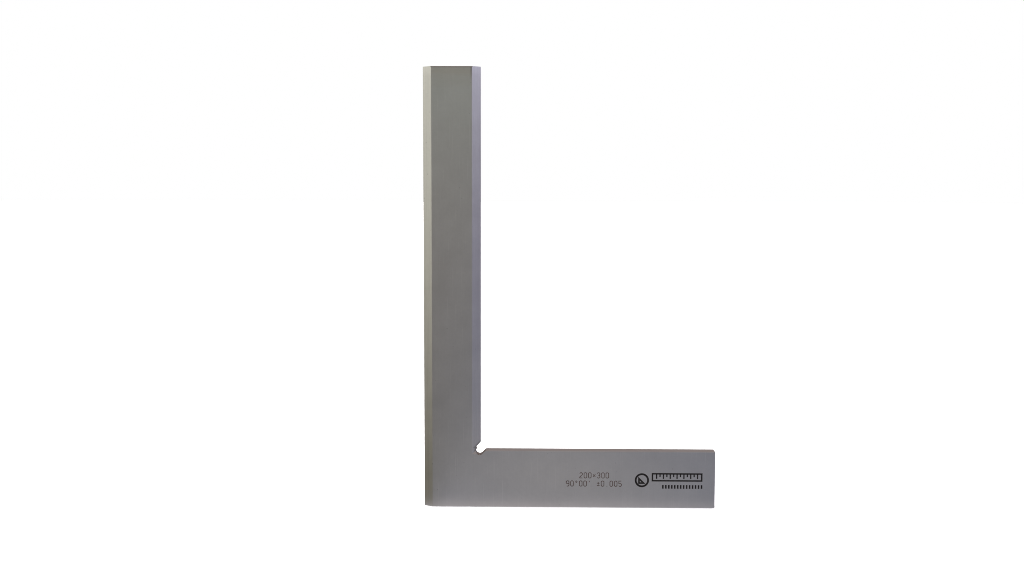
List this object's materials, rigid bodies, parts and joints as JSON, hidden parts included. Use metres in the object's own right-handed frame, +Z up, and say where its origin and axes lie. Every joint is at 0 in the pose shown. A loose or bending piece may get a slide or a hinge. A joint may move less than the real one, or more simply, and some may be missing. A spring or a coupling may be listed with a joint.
{
  "type": "knife-edge square",
  "caption": "Flat L-shaped steel square with bevelled knife edges down both sides of its blade, a plain rectangular beam and a relief slot in the inner corner.",
  "frame": {"origin": "centre of the beam's underside, the measuring face that the square stands on", "axes": "+Z up along the blade, +X along the beam from the outer knife edge to the free end, so that the marked face looks along -Y"},
  "size_m": [0.2, 0.008, 0.3],
  "materials": {
    "ground_steel": "finely ground hardened stainless steel, satin",
    "etched_mark": "thin dark etched line, matt",
    "black_mark": "black etched area, matt"
  },
  "bodies": {
    "root": {"square_body": "ground_steel", "size_marking": "etched_mark", "tolerance_marking": "etched_mark", "emblem_ring": "black_mark", "emblem_glyph": "black_mark", "scale_frame": "black_mark", "scale_ticks": "black_mark", "dash_row": "black_mark"}
  },
  "joints": []
}
